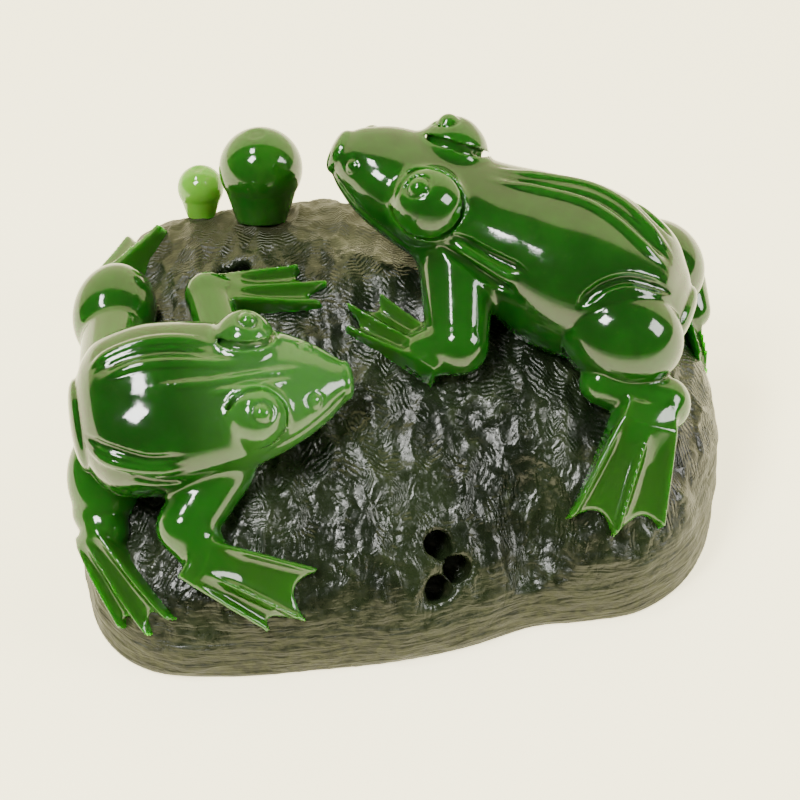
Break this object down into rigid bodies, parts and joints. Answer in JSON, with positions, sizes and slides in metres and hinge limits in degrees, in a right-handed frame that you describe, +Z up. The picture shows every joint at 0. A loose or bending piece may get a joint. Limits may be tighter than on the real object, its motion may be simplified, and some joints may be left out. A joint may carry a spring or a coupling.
{
  "type": "jade figurine",
  "caption": "Carved jade group of frogs and beads on a dark chiselled boulder, a small free-standing ornament.",
  "frame": {"origin": "on the ground, under the middle of the whole carving", "axes": "+X along the length towards the right-hand frog's rump, +Y towards the back, where the beads stand, +Z up"},
  "size_m": [0.065, 0.0522, 0.035],
  "materials": {
    "dark_stone": "chiselled, waxed satin",
    "green_stone": "high polish, translucent",
    "pale_green_stone": "high polish, translucent",
    "pin_metal": "plain drawn rod"
  },
  "bodies": {
    "root": {"rock_base": "dark_stone", "left_frog": "green_stone", "right_frog": "green_stone", "large_bead": "green_stone", "small_bead": "pale_green_stone", "left_frog_front_pin": "pin_metal", "left_frog_rear_pin": "pin_metal", "right_frog_front_pin": "pin_metal", "right_frog_rear_pin": "pin_metal", "large_bead_pin": "pin_metal", "small_bead_pin": "pin_metal"}
  },
  "joints": []
}
